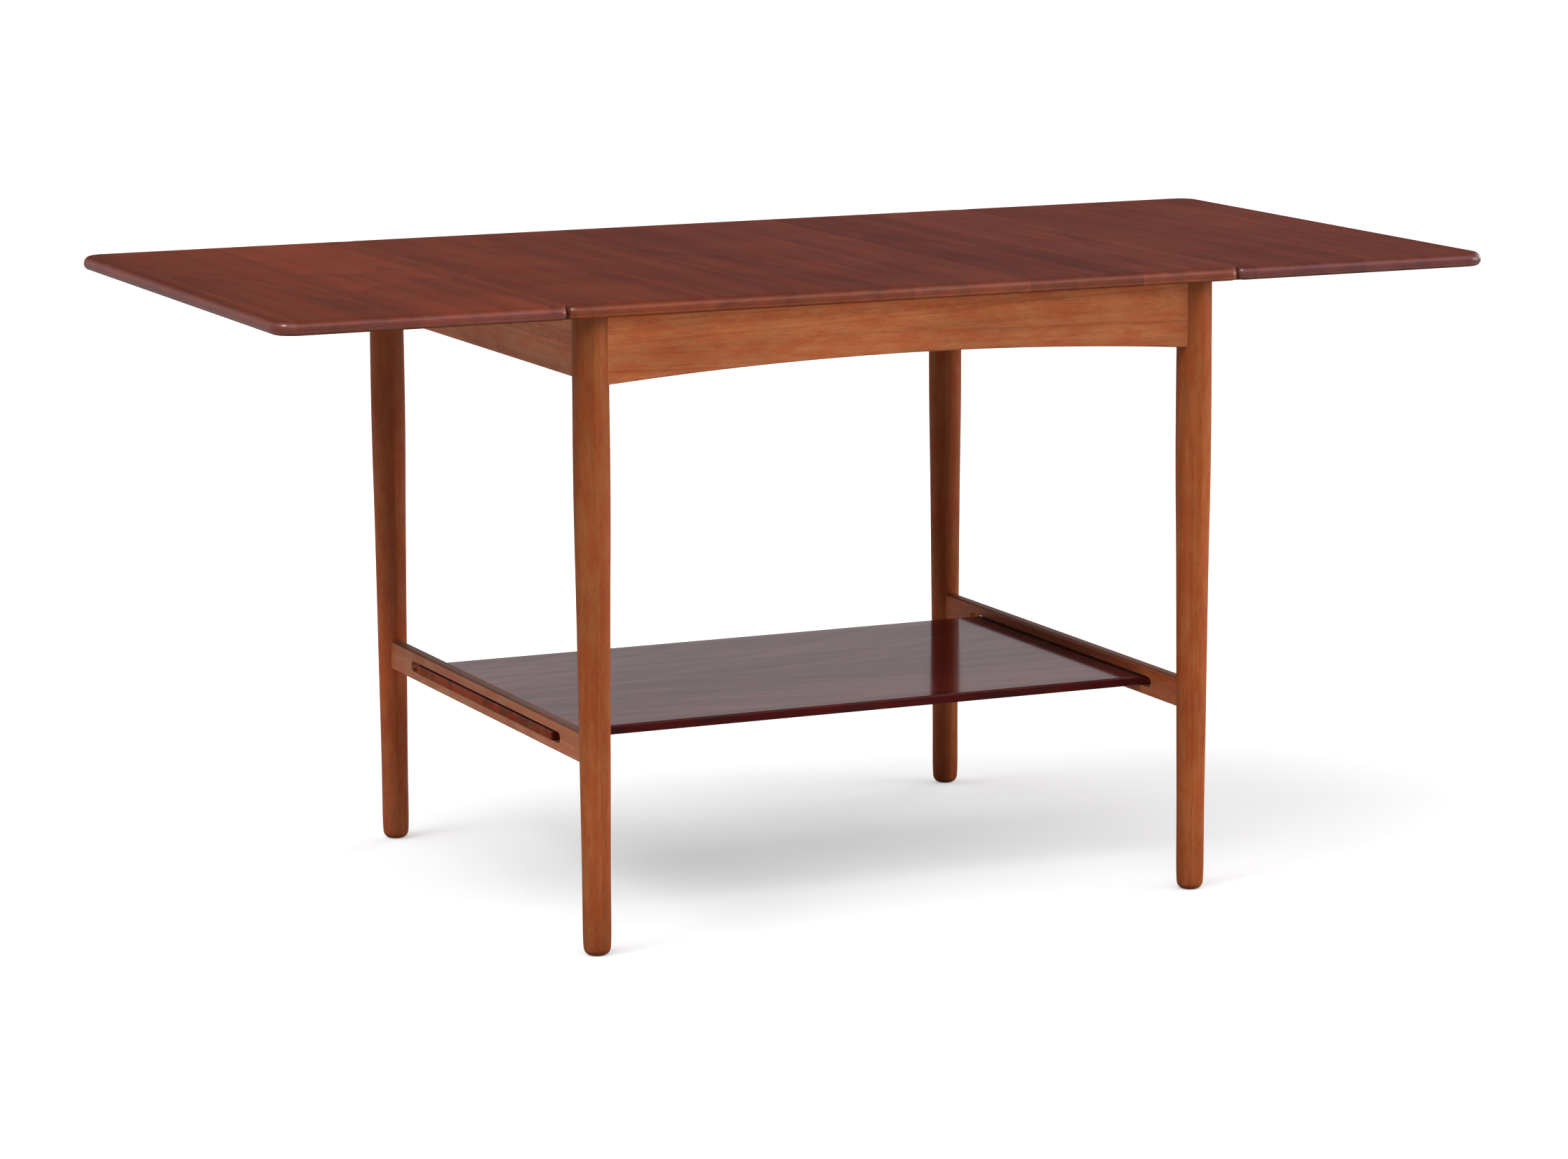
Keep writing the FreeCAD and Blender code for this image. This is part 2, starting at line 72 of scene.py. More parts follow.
# Lights: where each is seen from the table, its strength, how many degrees wide it is, and whether
# it shows only in the varnish
Light = namedtuple("Light", "name towards strength spread only_mirrored", defaults=(False,))
LIGHTS = (
    Light("overhead_light", (-0.46, 0.0, 1.0), 1.92, 60),
    Light("wide_overhead_light", (0.0, 0.0, 1.0), 1.32, 120),
    Light("front_light", (-0.30, -0.75, 0.90), 1.12, 40),
    Light("front_right_light", (0.55, -0.75, 0.85), 0.63, 40),
    Light("right_light", (0.95, -0.35, 0.16), 2.83, 40),
    Light("back_right_light", (0.85, 0.50, 0.25), 1.67, 40),
    Light("left_light", (-0.64, -0.14, 0.75), 1.40, 30),
    Light("left_window", (-0.64, -0.14, 0.75), 2.6, 14, only_mirrored=True))

# Turned legs: (height, radius) above the rounded foot, and the foot's rounding
LEG_SHAPE = (
    (0.008, 0.0126), (0.090, 0.0133), (0.180, 0.0142), (0.310, 0.0154), (0.440, 0.0169), (0.520, 0.0167),
    (0.587, 0.0164))
LEG_HEIGHT = LEG_SHAPE[-1][0]
LEG_RADIUS = max(radius for _, radius in LEG_SHAPE)
FOOT_FLAT = 0.0055
FOOT_ARC_STEPS = 4
LEG_RINGS = 110
LEG_SIDES = 72
SHARP_EDGE_ANGLE = math.radians(50)

# Screws
Screw = namedtuple("Screw", "head_radius shank_radius head_height length")
HINGE_SCREW = Screw(0.0034, 0.0016, 0.0016, 0.010)
FRAME_SCREW = Screw(0.0040, 0.0020, 0.0020, 0.029)
SHELF_SCREW = Screw(0.0034, 0.0017, 0.0017, 0.014)
SLOT_WIDTH = 0.0008
SLOT_DEPTH = 0.0006
SLOT_LENGTH_PER_HEAD_RADIUS = 2.4
TIP_PER_SHANK_RADIUS = 0.3
HEAD_SIDES = 32
SHANK_SIDES = 20
HINGE_SCREW_OUT = 0.012
HINGE_SCREW_PITCH = 0.022
FRAME_SCREW_HEAD = 0.566
BATTEN_SCREW_HEAD = 0.567
RAIL_SCREW_Y = (-0.190, 0.0, 0.190)
LONG_APRON_SCREW_X = (-0.120, 0.120)
BATTEN_SCREW_Y = (-0.200, -0.070, 0.070, 0.200)
SHELF_SCREW_Y = (-0.110, 0.110)

# Directions of a board's fibres and of its breadth
X = Vector((1, 0, 0))
Y = Vector((0, 1, 0))
Z = Vector((0, 0, 1))


# Small helpers for node trees

def add_node(tree, kind, inputs=None, **settings):
    """A node with its settings, its inputs given values or linked to other nodes' outputs."""
    made = tree.nodes.new(kind)
    for name, value in settings.items():
        setattr(made, name, value)
    for key, value in (inputs or {}).items():
        socket = made.inputs[key] if isinstance(key, int) else enabled_socket(made.inputs, key)
        if isinstance(value, bpy.types.NodeSocket):
            tree.links.new(value, socket)
        else:
            socket.default_value = value
    return made


def enabled_socket(sockets, name):
    return next(socket for socket in sockets if socket.name == name and socket.enabled)


def calculate(tree, operation, *values):
    """The output of a Math node on up to three numbers or sockets."""
    return add_node(tree, "ShaderNodeMath", dict(enumerate(values)), operation=operation).outputs[0]


def remap(tree, value, low, high, to_low=0.0, to_high=1.0, smooth=True):
    """A value brought from one range to another, kept inside it."""
    kind = "SMOOTHSTEP" if smooth else "LINEAR"
    inputs = {"Value": value, "From Min": low, "From Max": high, "To Min": to_low, "To Max": to_high}
    return add_node(tree, "ShaderNodeMapRange", inputs, interpolation_type=kind).outputs[0]


def mix_colour(tree, share, first, second, blend="MIX"):
    """Two colours mixed, or the first one tinted by the second."""
    made = add_node(tree, "ShaderNodeMix", {0: share}, data_type="RGBA", blend_type=blend)
    for socket, value in ((made.inputs[6], first), (made.inputs[7], second)):
        if isinstance(value, bpy.types.NodeSocket):
            tree.links.new(value, socket)
        else:
            socket.default_value = value
    return made.outputs[2]


def noise(tree, vector, scale, detail=2.0, roughness=0.5, dimensions="3D"):
    key = "W" if dimensions == "1D" else "Vector"
    inputs = {key: vector, "Scale": scale, "Detail": detail, "Roughness": roughness}
    return add_node(tree, "ShaderNodeTexNoise", inputs, noise_dimensions=dimensions).outputs[0]


def stretched(tree, vector, along, across):
    """Coordinates scaled differently along the fibres and across them, by numbers or sockets."""
    scale = add_node(tree, "ShaderNodeCombineXYZ", {0: along, 1: across, 2: across}).outputs[0]
    return add_node(tree, "ShaderNodeVectorMath", {0: vector, 1: scale}, operation="MULTIPLY").outputs[0]


def new_group(name, kind, inputs, outputs):
    """An empty node group with its sockets, and its input and output nodes."""
    tree = bpy.data.node_groups.new(name, kind)
    for label, socket_type, value in inputs:
        socket = tree.interface.new_socket(label, in_out="INPUT", socket_type=socket_type)
        if value is not None:
            socket.default_value = value
    for label, socket_type in outputs:
        tree.interface.new_socket(label, in_out="OUTPUT", socket_type=socket_type)
    return tree, add_node(tree, "NodeGroupInput").outputs, add_node(tree, "NodeGroupOutput").inputs


FLOAT = "NodeSocketFloat"
VECTOR = "NodeSocketVector"
GEOMETRY = "NodeSocketGeometry"
MATERIAL = "NodeSocketMaterial"
INTEGER = "NodeSocketInt"


# Effects that several finishes share. A range names the noise values that count as none and as full.

BOARD_SHIFT = (7.0, 0.9, 0.9)
WANDER_PER_METRE = (2.4, 13.0)
RING_UNEVENNESS = 3.0
RING_UNEVENNESS_SCALE = 0.33
LATEWOOD_BEGINS = (0.25, 0.9)
LATEWOOD_ENDS = (1.0, 0.93)
FAINTEST_RING = 0.3
STREAKS_PER_METRE = (1.3, 42.0)
STREAK_RANGE = (0.32, 0.7)
MOTTLES_PER_METRE = (26.0, 75.0)
MOTTLE_RANGE = (0.36, 0.64)
FIBRE_STRETCH = 0.03
FIBRE_RANGE = (0.3, 0.7)
PORE_SLENDERNESS = 13.0
PORE_RANGE = (0.60, 0.70)
TONE_RANGE = (0.3, 0.7)
SMUDGES_PER_PATCH = 5.0
SMUDGE_RANGE = (0.35, 0.75)
EDGE_RANGE = (0.995, 0.86)
BREAK_RANGE = (0.3, 0.62)
LEAST_WEAR = 0.25
CORNER_RANGE = (0.85, 0.35)
GRIME_PATCHES_PER_METRE = 90.0
GRIME_RANGE = (0.25, 0.65)
LEAST_GRIME = 0.5
UPPER_RANGE = (0.25, 0.70)
BENEATH_RANGE = (-0.80, -0.98)
UNDER_RANGE = (-0.05, -0.60)
ROLLED_RANGE = (0.98, 0.30)
END_GRAIN_RANGE = (0.70, 0.92)


def board_figure_group():
    """Growth rings, fibres and pores of sawn wood whose fibres run along the first coordinate."""
    tree, given, result = new_group("board_figure", "ShaderNodeTree", [
        ("Vector", VECTOR, None), ("Board Width", FLOAT, 0.1), ("Ring Spacing", FLOAT, 0.004),
        ("Pith Depth", FLOAT, 0.06), ("Pith Slope", FLOAT, 0.03), ("Wander", FLOAT, 0.006),
        ("Fibre Width", FLOAT, 0.0008), ("Pore Length", FLOAT, 0.006)],
        [("Rings", FLOAT), ("Streaks", FLOAT), ("Fibres", FLOAT), ("Pores", FLOAT), ("Board", FLOAT),
         ("Mottle", FLOAT)])
    place = add_node(tree, "ShaderNodeSeparateXYZ", {0: given["Vector"]}).outputs
    count = calculate(tree, "DIVIDE", place["Y"], given["Board Width"])
    index = calculate(tree, "FLOOR", count)
    chance = add_node(tree, "ShaderNodeTexWhiteNoise", {"W": index}, noise_dimensions="1D").outputs
    tree.links.new(chance["Value"], result["Board"])

    shift = add_node(tree, "ShaderNodeVectorMath", {0: chance["Color"], 1: BOARD_SHIFT}, operation="MULTIPLY")
    moved = add_node(tree, "ShaderNodeVectorMath", {0: given["Vector"], 1: shift.outputs[0]}).outputs[0]

    in_board = calculate(tree, "SUBTRACT", calculate(tree, "FRACT", count), chance["Value"])
    across = calculate(tree, "MULTIPLY", in_board, given["Board Width"])
    rise = calculate(tree, "MULTIPLY", place["X"], given["Pith Slope"])
    depth = calculate(tree, "ADD", calculate(tree, "ADD", place["Z"], given["Pith Depth"]), rise)
    radius = calculate(tree, "SQRT", calculate(tree, "ADD", calculate(tree, "POWER", across, 2.0),
                                               calculate(tree, "POWER", depth, 2.0)))
    wander = noise(tree, stretched(tree, moved, *WANDER_PER_METRE), 1.0, 3.0)
    wander = calculate(tree, "SUBTRACT", wander, 0.5)
    bent = calculate(tree, "MULTIPLY_ADD", wander, given["Wander"], radius)
    phase = calculate(tree, "DIVIDE", bent, given["Ring Spacing"])
    uneven = noise(tree, phase, RING_UNEVENNESS_SCALE, 1.0, dimensions="1D")
    uneven = calculate(tree, "MULTIPLY_ADD", uneven, RING_UNEVENNESS, phase)
    ring = calculate(tree, "FRACT", uneven)
    ring_tone = add_node(tree, "ShaderNodeTexWhiteNoise", {"W": calculate(tree, "FLOOR", uneven)},
                         noise_dimensions="1D").outputs["Value"]
    latewood = calculate(tree, "MULTIPLY", remap(tree, ring, *LATEWOOD_BEGINS),
                         remap(tree, ring, *LATEWOOD_ENDS))
    ring_tone = remap(tree, ring_tone, 0.0, 1.0, FAINTEST_RING, 1.0)
    tree.links.new(calculate(tree, "MULTIPLY", latewood, ring_tone), result["Rings"])

    streaks = noise(tree, stretched(tree, moved, *STREAKS_PER_METRE), 1.0, 4.0, 0.6)
    tree.links.new(remap(tree, streaks, *STREAK_RANGE), result["Streaks"])
    mottle = noise(tree, stretched(tree, moved, *MOTTLES_PER_METRE), 1.0, 3.0, 0.6)
    tree.links.new(remap(tree, mottle, *MOTTLE_RANGE), result["Mottle"])
    fine = calculate(tree, "DIVIDE", 1.0, given["Fibre Width"])
    along = calculate(tree, "MULTIPLY", fine, FIBRE_STRETCH)
    fibre_place = stretched(tree, moved, along, fine)
    tree.links.new(remap(tree, noise(tree, fibre_place, 1.0, 3.0, 0.65), *FIBRE_RANGE), result["Fibres"])
    pore_along = calculate(tree, "DIVIDE", 1.0, given["Pore Length"])
    pore_across = calculate(tree, "MULTIPLY", pore_along, PORE_SLENDERNESS)
    pore_place = stretched(tree, moved, pore_along, pore_across)
    tree.links.new(remap(tree, noise(tree, pore_place, 1.0, 1.0), *PORE_RANGE), result["Pores"])
    return tree


def patina_group():
    """Slow changes of tone and sheen from age and hands."""
    tree, given, result = new_group("patina", "ShaderNodeTree", [
        ("Vector", VECTOR, None), ("Patch Size", FLOAT, 0.18)], [("Tone", FLOAT), ("Smudge", FLOAT)])
    scale = calculate(tree, "DIVIDE", 1.0, given["Patch Size"])
    tone = noise(tree, given["Vector"], scale, 3.0, 0.55)
    tree.links.new(remap(tree, tone, *TONE_RANGE), result["Tone"])
    finer = calculate(tree, "MULTIPLY", scale, SMUDGES_PER_PATCH)
    smudge = noise(tree, given["Vector"], finer, 4.0, 0.6)
    tree.links.new(remap(tree, smudge, *SMUDGE_RANGE), result["Smudge"])
    return tree


def edge_wear_group():
    """How far a place lies on an edge, from the edge's rounded normal against the true one."""
    tree, given, result = new_group("edge_wear", "ShaderNodeTree", [
        ("Vector", VECTOR, None), ("Radius", FLOAT, 0.003), ("Breaks", FLOAT, 60.0)], [("Worn", FLOAT)])
    rounded = add_node(tree, "ShaderNodeBevel", {"Radius": given["Radius"]}, samples=6).outputs[0]
    true = add_node(tree, "ShaderNodeNewGeometry").outputs["Normal"]
    same = add_node(tree, "ShaderNodeVectorMath", {0: rounded, 1: true}, operation="DOT_PRODUCT")
    edge = remap(tree, same.outputs["Value"], *EDGE_RANGE)
    breaks = noise(tree, given["Vector"], given["Breaks"], 4.0, 0.65)
    broken = remap(tree, breaks, *BREAK_RANGE, LEAST_WEAR, 1.0)
    tree.links.new(calculate(tree, "MULTIPLY", edge, broken), result["Worn"])
    return tree


def corner_grime_and_shade_group():
    """Old wax and dust where pieces meet, and painted shade wherever surfaces close in, from an occlusion
    mask broken into patches.
    """
    tree, given, result = new_group("corner_grime_and_shade", "ShaderNodeTree", [
        ("Vector", VECTOR, None), ("Reach", FLOAT, 0.006)], [("Grime And Shade", FLOAT)])
    open_share = add_node(tree, "ShaderNodeAmbientOcclusion", {"Distance": given["Reach"]}, samples=8)
    closed = remap(tree, open_share.outputs["AO"], *CORNER_RANGE)
    patches = noise(tree, given["Vector"], GRIME_PATCHES_PER_METRE, 3.0, 0.6)
    patchy = remap(tree, patches, *GRIME_RANGE, LEAST_GRIME, 1.0)
    tree.links.new(calculate(tree, "MULTIPLY", closed, patchy), result["Grime And Shade"])
    return tree


def faces_group():
    """Which way a surface faces: up, down, out at a rolled edge, or out at the ends of the fibres."""
    tree, given, result = new_group("faces", "ShaderNodeTree", [
        ("Normal", VECTOR, None), ("Fibre", VECTOR, None)],
        [("Upper", FLOAT), ("Rolled", FLOAT), ("Rolled Under", FLOAT), ("Beneath", FLOAT),
         ("End Grain", FLOAT)])
    upright = add_node(tree, "ShaderNodeSeparateXYZ", {0: given["Normal"]}).outputs["Z"]
    tree.links.new(remap(tree, upright, *UPPER_RANGE), result["Upper"])
    beneath = remap(tree, upright, *BENEATH_RANGE)
    tree.links.new(beneath, result["Beneath"])
    rolled_under = calculate(tree, "SUBTRACT", remap(tree, upright, *UNDER_RANGE), beneath)
    tree.links.new(rolled_under, result["Rolled Under"])
    level = calculate(tree, "ABSOLUTE", upright)
    tree.links.new(remap(tree, level, *ROLLED_RANGE), result["Rolled"])
    sides = {0: given["Normal"], 1: given["Fibre"]}
    along = add_node(tree, "ShaderNodeVectorMath", sides, operation="DOT_PRODUCT").outputs["Value"]
    along = calculate(tree, "ABSOLUTE", along)
    tree.links.new(remap(tree, along, *END_GRAIN_RANGE), result["End Grain"])
    return tree


BOARD_FIGURE = board_figure_group()
PATINA = patina_group()
EDGE_WEAR = edge_wear_group()
CORNER_GRIME_AND_SHADE = corner_grime_and_shade_group()
FACES = faces_group()


def shared(tree, group, inputs):
    """The outputs of a shared effect placed in a material with its own values."""
    made = tree.nodes.new("ShaderNodeGroup")
    made.node_tree = group
    for key, value in inputs.items():
        if isinstance(value, bpy.types.NodeSocket):
            tree.links.new(value, made.inputs[key])
        else:
            made.inputs[key].default_value = value
    return made.outputs


def new_material(name):
    """A material with a bare shader to link into."""
    material = bpy.data.materials.new(name)
    material.use_nodes = True
    tree = material.node_tree
    tree.nodes.clear()
    shader = tree.nodes.new("ShaderNodeBsdfPrincipled")
    output = tree.nodes.new("ShaderNodeOutputMaterial")
    tree.links.new(shader.outputs[0], output.inputs["Surface"])
    return material, tree, shader


# Woods and their finishes. Colours go from light to dark with the figure. Each look's face tints paint
# light or shade on the sides that face one way, and its axis tint runs from one place on an axis to another:
# sun fading on the top, dirt at the feet, painted light at the long aprons' upper edge.

WEAR_SHOWN = 0.30
# How far wood darkens where surfaces close in: painted shade, with old wax and dust where pieces meet
GRIME_AND_SHADE_SHOWN = 0.55
PORE_ROUGHNESS = 0.2
FIBRE_HEIGHT = 0.5
SEED_SHIFT = 1.7
OILED_TEAK = {
    "light": (0.097, 0.0222, 0.0128, 1), "dark": (0.0370, 0.0102, 0.0093, 1),
    "pore": (0.018, 0.0060, 0.0048, 1),
    "worn": (0.17, 0.065, 0.040, 1), "board_width": 0.118, "ring_spacing": 0.0062, "pith_depth": 0.075,
    "pith_slope": 0.03, "wander": 0.016, "fibre_width": 0.0008, "pore_length": 0.005,
    "ring_share": 0.20, "streak_share": 0.40, "fibre_share": 0.18, "pore_share": 0.3, "board_share": 0.20,
    "roughness": (0.46, 0.60), "coat": 0.048, "coat_broken": 0.0, "coat_roughness": 0.18, "relief": 0.00012,
    # Rims painted lighter: a painted highlight on the rolled edge and painted bounce light under it;
    # undersides painted lighter as if lit from below
    "rim_coat": 0.40, "faces": {
        "Rolled": (2.2, 2.3, 1.9, 1), "Rolled Under": (2.2, 2.2, 1.8, 1), "Beneath": (1.9, 2.8, 2.3, 1)},
    "fade_dirt_and_light": ("X", 0.16, -0.42, (1.20, 1.06, 0.80, 1)), "age": (0.88, 1.08),
    "ruddy": (1.04, 0.95, 0.94, 1), "golden": (0.96, 1.06, 1.04, 1)}
# Leaves' rims painted pale and bluish as a painted reflection, lighter below as painted bounce light;
# undersides painted lighter as if lit from below
LEAF_TEAK = dict(OILED_TEAK, faces={
    "Rolled": (1.85, 2.25, 3.3, 1), "Rolled Under": (1.55, 1.95, 1.9, 1), "Beneath": (1.9, 2.8, 2.3, 1)})
VARNISHED_TEAK = dict(
    OILED_TEAK, light=(0.085, 0.0095, 0.0085, 1), dark=(0.034, 0.0048, 0.0045, 1), roughness=(0.34, 0.46),
    coat=0.65, rim_coat=0.10, coat_broken=0.22, coat_roughness=0.10, ring_spacing=0.0110,
    board_width=0.5, ring_share=0.28, streak_share=0.6, pith_depth=0.05, pith_slope=0.10, relief=0.00005,
    # The shelf's end faces are painted much lighter: a painted highlight
    faces={"End Grain": (3.2, 4.6, 1.6, 1)}, fade_dirt_and_light=None,
    ruddy=(1.32, 0.92, 0.88, 1), golden=(0.86, 1.15, 1.20, 1))
AGED_OAK = {
    "light": (0.500, 0.142, 0.046, 1), "dark": (0.235, 0.060, 0.019, 1), "pore": (0.137, 0.036, 0.012, 1),
    "worn": (0.56, 0.22, 0.090, 1), "board_width": 0.4, "ring_spacing": 0.0048, "pith_depth": 0.070,
    "pith_slope": 0.02, "wander": 0.012, "fibre_width": 0.0007, "pore_length": 0.007,
    "ring_share": 0.22, "streak_share": 0.40, "fibre_share": 0.11, "pore_share": 0.30, "board_share": 0.0,
    "roughness": (0.38, 0.52), "coat": 0.29, "coat_broken": 0.0, "coat_roughness": 0.30, "relief": 0.00014,
    "rim_coat": None, "faces": {}, "fade_dirt_and_light": None, "age": (0.87, 1.08),
    "ruddy": (0.98, 0.84, 0.78, 1), "golden": (1.04, 1.16, 1.20, 1)}
TURNED_OAK = dict(
    AGED_OAK, light=(0.375, 0.101, 0.029, 1), dark=(0.177, 0.043, 0.0120, 1),
    pore=(0.103, 0.026, 0.008, 1), coat=0.19, fade_dirt_and_light=("Z", 0.10, 0.0, (0.80, 0.80, 0.82, 1)))
# The long aprons are painted lighter towards their upper edge: painted light where the top's overhang shades
# them
LONG_APRON_OAK = dict(
    AGED_OAK, fade_dirt_and_light=("Z", 0.548, 0.587, (1.65, 1.62, 1.55, 1)), ring_spacing=0.0065, ring_share=0.36,
    wander=0.026, pith_depth=0.028, pith_slope=0.05)
# The stretchers' upward faces are painted dark: painted shade under the top
SLOTTED_OAK = dict(AGED_OAK, faces={"Upper": (0.27, 0.29, 0.31, 1)})
INNER_OAK = dict(
    AGED_OAK, light=(0.33, 0.165, 0.075, 1), dark=(0.20, 0.092, 0.040, 1), coat=0.04,
    roughness=(0.55, 0.68), relief=0.00020)

# Tints that set pieces of one wood a little apart. The long aprons' tint is their own tone; the stretchers',
# legs' and end aprons' tints are painted light and shade, each piece made lighter, darker or paler to the
# light
# where it stands: the right stretcher and back right leg painted in shade, the end aprons painted lighter.
LONG_APRON_TINT = (0.83, 0.86, 0.93, 1)
STRETCHER_LIGHT_AND_SHADE = {"left": (0.84, 1.0, 1.35, 1), "right": (0.88, 0.77, 0.72, 1)}
LEG_LIGHT_AND_SHADE = {
    "left_front": (0.84, 0.84, 0.86, 1), "right_front": (1.03, 0.98, 0.96, 1),
    "left_back": (0.97, 0.88, 1.04, 1), "right_back": (0.84, 0.75, 0.72, 1)}
END_APRON_PAINTED_LIGHT = (1.25, 1.28, 1.45, 1)
PLAIN_TINT = (1.0, 1.0, 1.0, 1)


def grain_placement(node, fibre, breadth, seed):
    """Turn and shift that bring a piece's fibres to the first coordinate and its middle to zero."""
    rows = Matrix((fibre, breadth, fibre.cross(breadth)))
    low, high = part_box(node)
    shift = -(rows @ ((low + high) / 2))
    shift.x += seed * SEED_SHIFT
    return rows.to_euler(), shift


def wood(name, look, node, fibre, breadth, seed, tint=PLAIN_TINT):
    """A wood finish for one piece, its figure laid along that piece."""
    material, tree, shader = new_material(name)
    coordinates = add_node(tree, "ShaderNodeTexCoord").outputs
    place = coordinates["Object"]
    turn, shift = grain_placement(node, fibre, breadth, seed)
    grain = {"Vector": place, "Rotation": turn, "Location": shift}
    grain = add_node(tree, "ShaderNodeMapping", grain).outputs[0]
    figure = shared(tree, BOARD_FIGURE, {
        "Vector": grain, "Board Width": look["board_width"], "Ring Spacing": look["ring_spacing"],
        "Pith Depth": look["pith_depth"], "Pith Slope": look["pith_slope"], "Wander": look["wander"],
        "Fibre Width": look["fibre_width"], "Pore Length": look["pore_length"]})
    patina = shared(tree, PATINA, {"Vector": grain})
    edge = shared(tree, EDGE_WEAR, {"Vector": grain})
    grime_and_shade = shared(tree, CORNER_GRIME_AND_SHADE, {"Vector": grain})

    darkness = calculate(tree, "MULTIPLY", figure["Rings"], look["ring_share"])
    darkness = calculate(tree, "MULTIPLY_ADD", figure["Streaks"], look["streak_share"], darkness)
    darkness = calculate(tree, "MULTIPLY_ADD", figure["Fibres"], look["fibre_share"], darkness)
    colour = mix_colour(tree, darkness, look["light"], look["dark"])
    pores = calculate(tree, "MULTIPLY", figure["Pores"], look["pore_share"])
    colour = mix_colour(tree, pores, colour, look["pore"])
    board_tone = remap(tree, figure["Board"], 0.0, 1.0, 1.0 - look["board_share"], 1.0, smooth=False)
    age_tone = remap(tree, patina["Tone"], 0.0, 1.0, *look["age"], smooth=False)
    brightness = calculate(tree, "MULTIPLY", board_tone, age_tone)
    colour = mix_colour(tree, 1.0, colour, brightness, "MULTIPLY")
    # A piece's own tone; for end aprons, stretchers and legs, painted light and shade
    colour = mix_colour(tree, 1.0, colour, tint, "MULTIPLY")
    mottled = mix_colour(tree, figure["Mottle"], look["ruddy"], look["golden"])
    colour = mix_colour(tree, 1.0, colour, mottled, "MULTIPLY")
    # Tint along an axis: sun fading, dirt at the feet, and painted light at the long aprons' upper edge
    if look["fade_dirt_and_light"]:
        axis, start, end, fade_dirt_and_light_colour = look["fade_dirt_and_light"]
        along = add_node(tree, "ShaderNodeSeparateXYZ", {0: place}).outputs[axis]
        colour = mix_colour(tree, remap(tree, along, start, end), colour, fade_dirt_and_light_colour, "MULTIPLY")
    # Painted light and shade on the sides that face one way
    if look["faces"]:
        faces = shared(tree, FACES, {"Normal": coordinates["Normal"], "Fibre": fibre})
        for facing, face_tint in look["faces"].items():
            colour = mix_colour(tree, faces[facing], colour, face_tint, "MULTIPLY")
    colour = mix_colour(tree, calculate(tree, "MULTIPLY", edge["Worn"], WEAR_SHOWN), colour, look["worn"])
    # Darker where surfaces close in: painted shade, with old wax and dust where pieces meet
    colour = mix_colour(tree, calculate(tree, "MULTIPLY", grime_and_shade["Grime And Shade"], GRIME_AND_SHADE_SHOWN), colour, look["pore"])
    tree.links.new(colour, shader.inputs["Base Color"])

    low, high = look["roughness"]
    roughness = remap(tree, patina["Smudge"], 0.0, 1.0, low, high, smooth=False)
    roughness = calculate(tree, "MULTIPLY_ADD", pores, PORE_ROUGHNESS, roughness)
    tree.links.new(roughness, shader.inputs["Roughness"])
    height = calculate(tree, "MULTIPLY", figure["Fibres"], FIBRE_HEIGHT)
    height = calculate(tree, "SUBTRACT", height, figure["Pores"])
    bump = add_node(tree, "ShaderNodeBump", {"Height": height, "Distance": look["relief"], "Strength": 1.0})
    tree.links.new(bump.outputs[0], shader.inputs["Normal"])
    shader.inputs["Specular IOR Level"].default_value = 0.0
    shader.inputs["Coat Roughness"].default_value = look["coat_roughness"]
    shader.inputs["Coat Weight"].default_value = look["coat"]
    if look["rim_coat"] is not None:
        coat = remap(tree, faces["Rolled"], 0.0, 1.0, look["coat"], look["rim_coat"], smooth=False)
        whole = calculate(tree, "MULTIPLY_ADD", darkness, -look["coat_broken"], 1.0)
        tree.links.new(calculate(tree, "MULTIPLY", coat, whole), shader.inputs["Coat Weight"])
    return material


METAL_PATCH_SIZE = 0.012
METAL_EDGE = 0.0006
METAL_BREAKS = 500.0
METAL_CORNER = 0.0025
METAL_GRIME_SHOWN = 0.8
METAL_RUBBED_CLEAN = 0.4
TARNISH_ROUGHNESS = 0.3
SMUDGE_ROUGHNESS = 0.1


def metal(name, clean, tarnish, tarnish_share, roughness):
    """A plain metal with tarnish in its corners and rubbed edges."""
    material, tree, shader = new_material(name)
    place = add_node(tree, "ShaderNodeTexCoord").outputs["Object"]
    patina = shared(tree, PATINA, {"Vector": place, "Patch Size": METAL_PATCH_SIZE})
    edge = shared(tree, EDGE_WEAR, {"Vector": place, "Radius": METAL_EDGE, "Breaks": METAL_BREAKS})
    grime_and_shade = shared(tree, CORNER_GRIME_AND_SHADE, {"Vector": place, "Reach": METAL_CORNER})
    dull = calculate(tree, "MULTIPLY", patina["Tone"], tarnish_share)
    dull = calculate(tree, "MAXIMUM", dull, calculate(tree, "MULTIPLY", grime_and_shade["Grime And Shade"], METAL_GRIME_SHOWN))
    dull = calculate(tree, "SUBTRACT", dull, calculate(tree, "MULTIPLY", edge["Worn"], METAL_RUBBED_CLEAN))
    dull = remap(tree, dull, 0.0, 1.0, smooth=False)
    tree.links.new(mix_colour(tree, dull, clean, tarnish), shader.inputs["Base Color"])
    rough = remap(tree, dull, 0.0, 1.0, roughness, roughness + TARNISH_ROUGHNESS, smooth=False)
    rough = calculate(tree, "MULTIPLY_ADD", patina["Smudge"], SMUDGE_ROUGHNESS, rough)
    tree.links.new(rough, shader.inputs["Roughness"])
    shader.inputs["Metallic"].default_value = 1.0
    return material


DULL_BRASS = metal("dull_brass", (0.55, 0.36, 0.13, 1), (0.16, 0.085, 0.035, 1), 0.7, 0.28)
PLAIN_STEEL = metal("plain_steel", (0.42, 0.41, 0.39, 1), (0.12, 0.10, 0.085, 1), 0.6, 0.32)


def dress(node, material):
    """Give a carried-over node its finish."""
    for slot in NODES[node].material_slots:
        slot.material = material


